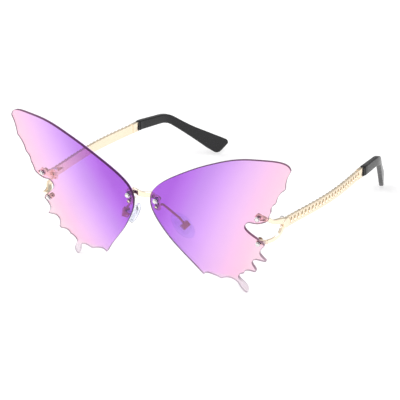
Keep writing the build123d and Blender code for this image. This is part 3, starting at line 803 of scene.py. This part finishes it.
def lens_grid(outline, rings):
    """Even points over the lens that keep clear of its rings."""
    low, high = outline.min(0), outline.max(0)
    grid = np.array([(x, y) for x in np.arange(low[0], high[0], GRID_STEP)
                     for y in np.arange(low[1], high[1], GRID_STEP)])
    keep = within(grid, rings)
    for ring in rings:
        keep &= np.min(np.linalg.norm(grid[:, None] - ring[None], axis=2), axis=1) > GRID_MARGIN
    return grid[keep]


def lens_mesh(source, flip):
    """The lens again, with its CAD outline eased, a bevelled cut edge and even faces."""
    rims = lens_rims(source, flip)
    flat_rims = [loop - outward(loop) * profile[0][0] * MM * sign for loop, profile, sign in rims]
    points = [Vector(p) for p in lens_grid(rims[0][0], flat_rims)]
    edges, starts = [], []
    for ring in flat_rims:
        first = len(points)
        starts.append(first)
        points += [Vector(p) for p in ring]
        edges += [(first + i, first + (i + 1) % len(ring)) for i in range(len(ring))]
    flat, _, faces, origins, _, _ = geometry.delaunay_2d_cdt(points, edges, [], 0, 1e-9)
    middles = np.array([np.mean([flat[i] for i in face], axis=0) for face in faces])
    made_of = {o: index for index, origin in enumerate(origins) for o in origin}
    mesh = bmesh.new()
    front = [mesh.verts.new(on_ball(p, 0, flip)) for p in flat]
    rear = [mesh.verts.new(on_ball(p, LENS_THICK, flip)) for p in flat]
    for face, wanted in zip(faces, within(middles, flat_rims)):
        if wanted:
            mesh.faces.new([front[i] for i in face])
            mesh.faces.new([rear[i] for i in reversed(face)])
    for start, (loop, profile, sign) in zip(starts, rims):
        spots = range(len(loop))
        rings = [[front[made_of[start + i]] for i in spots]]
        for inset, depth in profile[1:-1]:
            ring = loop - outward(loop) * sign * inset * MM
            rings.append([mesh.verts.new(on_ball(p, depth * MM, flip)) for p in ring])
        rings.append([rear[made_of[start + i]] for i in spots])
        dark = len(rings) - (TINTED_BEVELS if sign > 0 else 0)
        before = set(mesh.faces)
        skin(mesh, rings[:dark], closed_ends=False)
        for face in set(mesh.faces) - before:
            face.material_index = 1
        skin(mesh, rings[dark - 1:], closed_ends=False)
    bmesh.ops.delete(mesh, geom=[v for v in mesh.verts if not v.link_faces], context="VERTS")
    return mesh_data(mesh, sharp_degrees=50)


for side, flip in SIDES:
    finished(side + "_lens_wing", lens_mesh(side + "_lens", flip), "front", [side + "_lens"], [TINT, EDGE])


# Screws, bushings, washers and nuts

def radial(share):
    """Direction from the ball's middle to a place on the lens, given as shares of its size."""
    u, v = share[0] * LENS_SIZE[0], share[1] * LENS_SIZE[1]
    return (ACROSS * u + UPWARD * v + FORWARD * math.sqrt(LENS_BALL ** 2 - u * u - v * v)).normalized()


def seat_turn(out, level):
    """Turn whose Z points out of the seat and whose X lies nearest to a level direction."""
    side = (level - out * level.dot(out)).normalized()
    return Matrix((side, out.cross(side), out)).transposed()


def lens_seats():
    """Places and turns of the six lens screws, Z out of the front."""
    seats = []
    nose_out = radial(NOSE_PLATE_SHARE)
    nose_plate = BALL_MIDDLE + nose_out * LENS_BALL
    nose = BALL_MIDDLE + radial(NOSE_SCREW_SHARE) * LENS_BALL
    nose -= nose_out * (nose - nose_plate).dot(nose_out)
    places = [(nose, nose_out)] + [(BALL_MIDDLE + radial(s) * LENS_BALL, radial(s)) for s in END_SCREW_SHARES]
    for _, flip in SIDES:
        for index, (place, out) in enumerate(places):
            slot_angle = math.radians(35 + 50 * index)
            level = Vector((math.cos(slot_angle), 0, math.sin(slot_angle)))
            seats.append((mirrored(place, flip), seat_turn(mirrored(out, flip), level)))
    return seats


def slotted_screw(shank, tail, head, rise, seat, slot_width, slot_depth):
    """Screw along Z with a domed, slotted head; seat and tail are heights."""
    rim = seat + rise * 0.4
    dome = [(head * math.cos(t), rim + (rise * 0.6) * math.sin(t)) for t in np.radians(DOME_DEGREES)]
    profile = [(0, tail), (shank, tail), (shank, seat), (head * 0.96, seat), (head, seat + rise * 0.08),
               (head, rim)] + dome + [(0, seat + rise)]
    tool = bmesh.new()
    bmesh.ops.create_cube(tool, size=1)
    bmesh.ops.scale(tool, vec=(head * 4, slot_width, slot_depth * 2), verts=tool.verts)
    bmesh.ops.translate(tool, vec=(0, 0, seat + rise), verts=tool.verts)
    cutter = placed("cutter", mesh_data(tool, sharp_degrees=30))
    data = evaluated(mesh_data(turned(profile, SCREW_SIDES), sharp_degrees=40), (
        ("slot", "BOOLEAN", {"object": cutter}),))
    bpy.data.objects.remove(cutter)
    smooth_faces(data)
    data.set_sharp_from_angle(angle=math.radians(40))
    return data


def set_screws(name, screw, seats, stands_for):
    """One slotted steel screw on each seat, in place of the CAD screws."""
    data = on_seats(slotted_screw(**screw), seats, STEEL)
    finished(name, data, "front", stands_for, [STEEL])


set_screws("lens_screws", LENS_SCREW, lens_seats(), ["bridge_screws", "end_piece_screws"])
set_screws("hinge_screw_pair", HINGE_SCREW, [
    (mirrored(HINGE_TOP, flip), seat_turn(Vector((0, 0, 1)), Vector((1, 0.6 * flip, 0)))) for _, flip in SIDES],
    ["hinge_screws"])
set_screws("pad_screw_pair", PAD_SCREW, [
    (mirrored(PAD_PIVOT + PAD_AXIS * PAD_BOX_HALF, flip), seat_turn(mirrored(PAD_AXIS, flip), Vector((0.5, 0, 1))))
    for _, flip in SIDES], ["pad_screws"])
# The nuts take the darker gold, painted shade for where they sit behind the lens
for name, finish, slot in (("bridge_bushings", CLEAR, "clear_plastic"), ("end_piece_bushings", CLEAR, "clear_plastic"),
                           ("bridge_washers", CLEAR, "clear_plastic"), ("end_piece_washers", CLEAR, "clear_plastic"),
                           ("peg_sleeves", CLEAR, "clear_plastic"), ("bridge_nuts", NUT_GOLD_PAINTED_SHADE, "gold"),
                           ("end_piece_nuts", NUT_GOLD_PAINTED_SHADE, "gold")):
    smooth_copy(name, name + "_polished", "front", finish)


# Bridge, pad arms, boxes, pads and end pieces

cast_copy("bridge", "bridge_arch", "front", GOLD, grain=0.11 * MM, passes=6)


def pad_mesh(flip):
    """A soft pillow: an oval pad with a full, round edge."""
    rear = PAD_REAR.normalized()
    down = (PAD_DOWN - rear * PAD_DOWN.dot(rear)).normalized()
    side = rear.cross(down)
    mesh = bmesh.new()
    rings = []
    for lat in np.radians(np.linspace(-PAD_RING_DEGREES, PAD_RING_DEGREES, PAD_RINGS)):
        width = math.cos(lat) ** PAD_ROUNDNESS
        rise = math.copysign(abs(math.sin(lat)) ** PAD_ROUNDNESS, lat)
        ring = []
        for turn in once_round(PAD_RING_POINTS):
            place = (PAD_MIDDLE + down * math.cos(turn) * PAD_SIZE[0] / 2 * width
                     + side * math.sin(turn) * PAD_SIZE[1] / 2 * width + rear * rise * PAD_SIZE[2] / 2)
            ring.append(mesh.verts.new(mirrored(place, flip)))
        rings.append(ring)
    skin(mesh, rings, closed_ends=True)
    return mesh_data(mesh, sharp_degrees=180)


def slim_fork(place):
    """Slims the upper prong towards the lens and bows the lower prong out a little."""
    place = place.copy()
    along = (place.y - UPPER_SEAT.y) / (FORK_MEET.y - UPPER_SEAT.y)
    middle = UPPER_SEAT.z + (FORK_MEET.z - UPPER_SEAT.z) * np.interp(along, *PRONG_FALL)
    if place.z > middle - PRONG_UNDERSIDE and along > 0:
        reach = abs(place.x) - UPPER_SEAT.x
        place.z = middle + (place.z - middle) * np.interp(reach, PRONG_SLIM_REACH, (1, np.interp(along, *PRONG_SLIM)))
    height = np.interp(place.z, PRONG_BOW_HEIGHTS, (0, 1))
    bow = math.sin(math.pi * height) ** 2 * np.interp(place.y, PRONG_BOW_DEPTHS, (1, 0))
    return place + mirrored(PRONG_BOW, math.copysign(1, place.x)) * bow


for side, flip in SIDES:
    smooth_copy(side + "_pad_arm", side + "_arm_wire", "front", DEEP_GOLD)
    smooth_copy(side + "_pad_box", side + "_box_clip", "front", DEEP_GOLD)
    smooth_copy(side + "_pad_core", side + "_core_plate", side + "_pad", INSERT)
    finished(side + "_pillow", pad_mesh(flip), side + "_pad", [side + "_nose_pad"], [SILICONE])
    cast_copy(side + "_end_piece", side + "_fork", "front", GOLD, grain=0.12 * MM, passes=10,
              reshape=slim_fork)


# Temples: the band, its row of links and the tip

def bowed(place):
    """Bows the band outward between its two ends, as such a temple springs."""
    share = (place.yz - TEMPLE_START.yz).dot(TEMPLE_WAY.yz) / BAND_LENGTH
    if not 0 < share < 1:
        return place.copy()
    return place + Vector((math.copysign(BAND_BOW * math.sin(math.pi * share) ** BAND_BOW_POWER, place.x), 0, 0))


def bowed_band(side):
    """The temple's CAD mesh, cut across often enough to bow."""
    mesh = merged_copy(side + "_temple")
    for step in range(1, BAND_CUTS):
        bmesh.ops.bisect_plane(mesh, geom=mesh.verts[:] + mesh.edges[:] + mesh.faces[:], dist=1e-6,
                               plane_co=TEMPLE_START + TEMPLE_WAY * BAND_LENGTH * step / BAND_CUTS,
                               plane_no=TEMPLE_WAY)
    for vert in mesh.verts:
        vert.co = bowed(vert.co)
    return with_flats(mesh)


def link_ways():
    """The long and the short direction of a slanted link, in the plane of the band."""
    return (TEMPLE_UP * math.cos(LINK_SLANT) + TEMPLE_WAY * math.sin(LINK_SLANT),
            TEMPLE_WAY * math.cos(LINK_SLANT) - TEMPLE_UP * math.sin(LINK_SLANT))


def link_mesh(flip):
    """One slanted oval link, turned a little out of the band so that its neighbour laps it."""
    (long_half, short_half), (wire, wire_rise) = LINK_HALVES, LINK_WIRE
    up, flat = link_ways()
    along = flat * math.cos(LINK_LAP) + Vector((1, 0, 0)) * math.sin(LINK_LAP)
    normal = up.cross(along).normalized()
    mesh = bmesh.new()
    rings = []
    for turn in once_round(LINK_POINTS[0]):
        middle = up * long_half * math.sin(turn) + along * short_half * math.cos(turn)
        away = (up * short_half * math.sin(turn) + along * long_half * math.cos(turn)).normalized()
        ring = []
        for roll in once_round(LINK_POINTS[1]):
            place = middle + away * wire * math.cos(roll) + normal * wire_rise * math.sin(roll)
            ring.append(mesh.verts.new(mirrored(place, flip)))
        rings.append(ring)
    skin(mesh, rings + rings[:1], closed_ends=False)
    return mesh_data(mesh, sharp_degrees=180)


def slot_shade_mesh(flip):
    """A dark slanted oval set down in the middle of a link, as painted shade for the depth of its slot."""
    up, flat = link_ways()
    long_half, short_half = SLOT_SHADE_HALVES
    mesh = bmesh.new()
    rings = []
    for reach, depth in SLOT_SHADE_PROFILE:
        ring = []
        for turn in once_round(SLOT_SHADE_POINTS):
            place = up * long_half * reach * math.sin(turn) + flat * short_half * reach * math.cos(turn)
            ring.append(mesh.verts.new(mirrored(place + Vector((depth * MM, 0, 0)), flip)))
        rings.append(ring)
    skin(mesh, rings, closed_ends=True)
    return mesh_data(mesh, sharp_degrees=60)


def link_row(name, data, side, flip, finish):
    """One small shape repeated along the outer face of the band."""
    first = (TEMPLE_START + Vector((BAND_THICK / 2, 0, 0)) + TEMPLE_WAY * LINK_START
             + TEMPLE_UP * LINK_RISE)
    piece = placed("link", data)
    row = grown(ROW, bpy.data.meshes.new("row"), {
        "Piece": piece, "Count": LINK_COUNT, "First": tuple(mirrored(first, flip)),
        "Step": tuple(TEMPLE_WAY * LINK_PITCH), "Finish": finish})
    bpy.data.objects.remove(piece)
    for vert in row.vertices:
        vert.co = bowed(vert.co)
    smooth_faces(row)
    finished(name, row, side + "_temple", [], [finish])


def tip_spots(length):
    """Spots along the tip, closer together at its first ring and towards its rounded end."""
    return np.concatenate([np.linspace(0, 1.5 * MM, 16), np.linspace(2 * MM, length - 3.2 * MM, 130),
                           length - 3.1 * MM * np.cos(np.linspace(0, math.pi / 2, 24))])


def bent_way(corners, radius):
    """Places, headings and spots of the tip along straight runs joined by arcs."""
    places = [corners[0]]
    for before, corner, after in zip(corners, corners[1:], corners[2:]):
        arrive, leave = (corner - before).normalized(), (after - corner).normalized()
        half = math.acos(max(-1, min(1, arrive.dot(leave)))) / 2
        cut = radius * math.tan(half)
        middle = corner + (leave - arrive).normalized() * radius / math.cos(half)
        start = corner - arrive * cut - middle
        axis = arrive.cross(leave).normalized()
        for share in np.linspace(0, 1, 16):
            places.append(middle + Matrix.Rotation(2 * half * share, 3, axis) @ start)
    places.append(corners[-1])
    run = np.concatenate([[0], np.cumsum([(b - a).length for a, b in zip(places, places[1:])])])
    spots = tip_spots(run[-1])
    count = len(spots)
    even = [Vector([np.interp(spot, run, [p[k] for p in places]) for k in range(3)]) for spot in spots]
    headings = [(even[min(i + 1, count - 1)] - even[max(i - 1, 0)]).normalized() for i in range(count)]
    return even, headings, spots


def rounded_box(half_width, half_height, corner):
    """Points round a rectangle with round corners."""
    points = []
    for sx, sy, start in ((1, 1, 0), (-1, 1, 90), (-1, -1, 180), (1, -1, 270)):
        for angle in np.radians(np.linspace(start, start + 90, 9)):
            points.append((sx * (half_width - corner) + corner * math.cos(angle),
                           sy * (half_height - corner) + corner * math.sin(angle)))
    return points


def end_cut(left, reach):
    """How much a half size loses at a distance from the end, so that the end is round over its reach."""
    return reach * (1 - math.sqrt(1 - max(0, 1 - left / reach) ** 2)) if left < reach else 0


def tip_outline(spot, length):
    """Half thickness, half height and upward shift of the tip at a spot along it."""
    share = spot / length * (len(TIP_HEIGHT_SHARES) - 1)
    half_thick = np.interp(share, range(len(TIP_THICK_SHARES)), TIP_THICK_SHARES) * TIP_SIZE[0] / 2
    half_high = np.interp(share, range(len(TIP_HEIGHT_SHARES)), TIP_HEIGHT_SHARES) * TIP_SIZE[1] / 2
    lift = TIP_END_LIFT * np.interp(spot / length, *TIP_LIFT_SHARES)
    thick_cut, high_cut = (end_cut(length - spot, reach) for reach in TIP_END_REACH)
    groove = np.interp(spot, np.array(TIP_START_SPOTS) * MM, np.array(TIP_START_CUTS) * MM)
    return half_thick - thick_cut - groove, half_high - high_cut - groove, lift


def tip_mesh(flip):
    """The sleeve and paddle behind the ear, with a ring at the collar and a rounded end."""
    start = TEMPLE_START + TEMPLE_WAY * (BAND_LENGTH + TIP_GAP)
    run, fall = TIP_REAR - start.y, start.z - TIP_END_HEIGHT
    corners = [start] + [start + Vector((-inset * TIP_INSET, along * run, -drop * fall))
                         for along, inset, drop in TIP_WAY_SHARES]
    places, headings, spots = bent_way(corners, TIP_BEND)
    mesh = bmesh.new()
    rings = []
    for place, heading, spot in zip(places, headings, spots):
        half_thick, half_high, lift = tip_outline(spot, spots[-1])
        side = heading.cross(Vector((0, 0, 1))).normalized()
        up = side.cross(heading)
        ring = []
        for x, y in rounded_box(half_thick, half_high, min(TIP_CORNER, half_thick * 0.7, half_high * 0.7)):
            slant = heading * (y * TIP_END_SLANT * np.interp(spot / spots[-1], *TIP_SLANT_SHARES))
            spot_place = place + side * x + up * (y + lift) + slant
            ring.append(mesh.verts.new((spot_place.x * flip, spot_place.y, max(spot_place.z, 0))))
        rings.append(ring)
    skin(mesh, rings, closed_ends=True)
    return mesh_data(mesh, sharp_degrees=45)


for side, flip in SIDES:
    body = side + "_temple"
    finished(side + "_band", bowed_band(side), body, [side + "_temple"], [BAND_GOLD])
    link_row(side + "_links", link_mesh(flip), side, flip, GOLD)
    # Dark ovals in the link slots: painted shade, not a colour of the metal
    link_row(side + "_link_slots", slot_shade_mesh(flip), side, flip, SLOT_SHADE_PAINT)
    finished(side + "_ear_tip", tip_mesh(flip), body, [side + "_temple_tip"], [BLACK])
